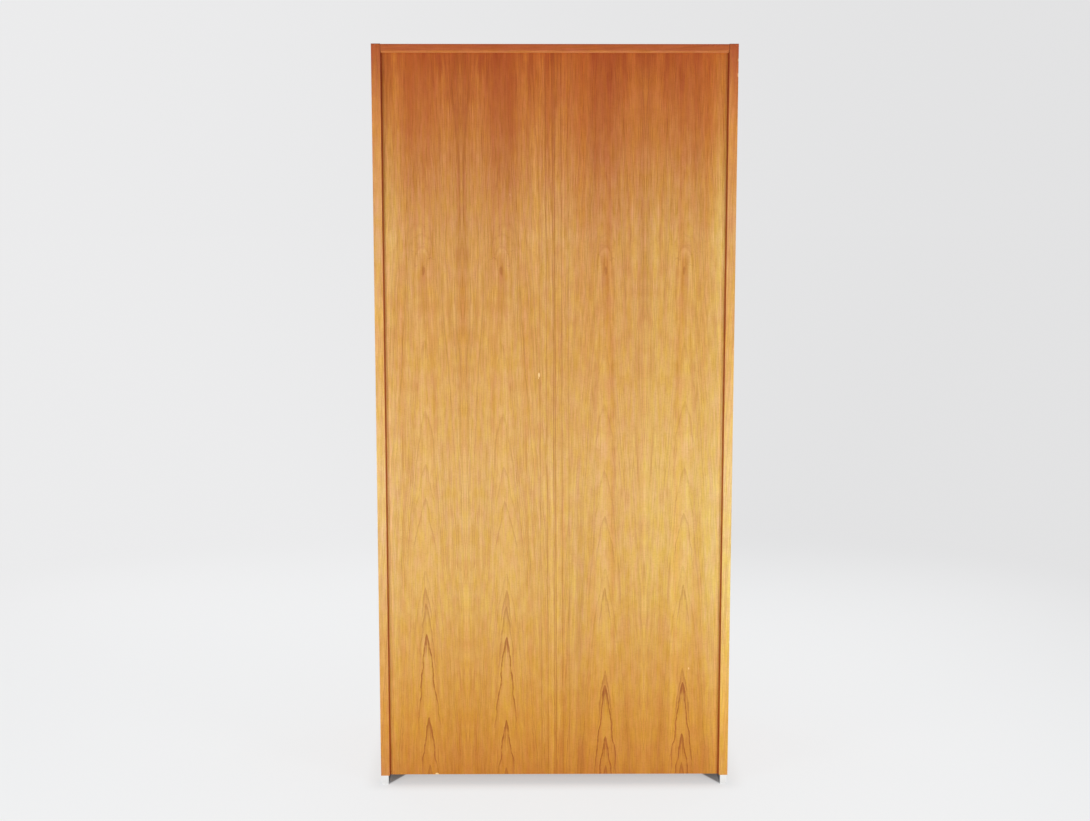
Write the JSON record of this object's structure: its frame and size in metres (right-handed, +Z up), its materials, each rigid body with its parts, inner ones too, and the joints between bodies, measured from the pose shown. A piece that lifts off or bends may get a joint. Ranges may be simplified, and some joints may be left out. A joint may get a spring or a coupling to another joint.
{
  "type": "wardrobe",
  "caption": "Tall free-standing teak wardrobe with inset doors on butt hinges, lock and key, shelves, clothes rail, veneered back and low metal runners.",
  "frame": {"origin": "centre of the plan at floor level, under the runners", "axes": "+Z up, the doors face -Y, the veneered back faces +Y, +X to the right seen from the front"},
  "size_m": [0.955, 0.63, 2],
  "materials": {
    "teak_veneer": "teak veneer, book-matched, oiled satin",
    "solid_teak": "solid teak, oiled satin",
    "beech": "plain beech",
    "brass": "satin brass, slightly tarnished",
    "steel": "nickel-plated steel",
    "aluminium": "satin aluminium",
    "ivory_plastic": "ivory plastic"
  },
  "bodies": {
    "case": {"side_left": "teak_veneer", "side_right": "teak_veneer", "side_left_lippings": "solid_teak", "side_right_lippings": "solid_teak", "top_board": "teak_veneer", "top_lippings": "solid_teak", "bottom_board": "teak_veneer", "bottom_lipping": "solid_teak", "partition": "teak_veneer", "partition_lipping": "solid_teak", "back_panel": "teak_veneer", "case_dowels": "beech", "runner_left": "aluminium", "runner_right": "aluminium", "runner_screws": "steel", "hat_shelf": "teak_veneer", "shelf_1": "teak_veneer", "shelf_2": "teak_veneer", "shelf_3": "teak_veneer", "shelf_4": "teak_veneer", "shelf_lippings": "solid_teak", "shelf_pins": "steel", "clothes_rail": "steel", "rail_socket_left": "steel", "rail_socket_right": "steel", "hinge_case_leaves_left": "brass", "hinge_case_leaves_right": "brass", "hinge_pins_left": "brass", "hinge_pins_right": "brass", "case_screws": "brass", "catch_bodies": "ivory_plastic", "catch_magnets": "steel", "bolt_keep": "brass"},
    "left_door": {"door_left": "teak_veneer", "door_left_lippings": "solid_teak", "pull_left": "solid_teak", "pull_screws_left": "steel", "hinge_door_leaves_left": "brass", "door_screws_left": "brass", "catch_strike_left": "steel", "striker_plate": "brass", "top_bolt_plate": "brass"},
    "right_door": {"door_right": "teak_veneer", "door_right_lippings": "solid_teak", "pull_right": "solid_teak", "pull_screws_right": "steel", "hinge_door_leaves_right": "brass", "door_screws_right": "brass", "catch_strike_right": "steel", "lock_case": "brass", "lock_cover": "brass", "escutcheon": "brass"},
    "lock_bolt": {"lock_bolt": "brass"},
    "key": {"key": "brass"},
    "top_bolt": {"top_bolt_rod": "steel"}
  },
  "joints": [
    {"name": "left_door_hinge", "type": "hinge", "parent": "case", "child": "left_door", "pos_m": [-0.45275, -0.2889, 1], "axis": [0, 0, -1], "range_deg": [0, 170]},
    {"name": "right_door_hinge", "type": "hinge", "parent": "case", "child": "right_door", "pos_m": [0.45275, -0.2889, 1], "axis": [0, 0, 1], "range_deg": [0, 170]},
    {"name": "key_turn", "type": "hinge", "parent": "right_door", "child": "key", "pos_m": [0.027, -0.285, 0.975], "axis": [0, -1, 0], "range_deg": [0, 90]},
    {"name": "lock_bolt_slide", "type": "slide", "parent": "right_door", "child": "lock_bolt", "axis": [-1, 0, 0], "range_m": [0, 0.01]},
    {"name": "top_bolt_slide", "type": "slide", "parent": "left_door", "child": "top_bolt", "axis": [0, 0, 1], "range_m": [0, 0.013]}
  ],
  "couplings": [
    {"joint": "key_turn", "follows": "lock_bolt_slide", "rad_per_m": 157}
  ]
}
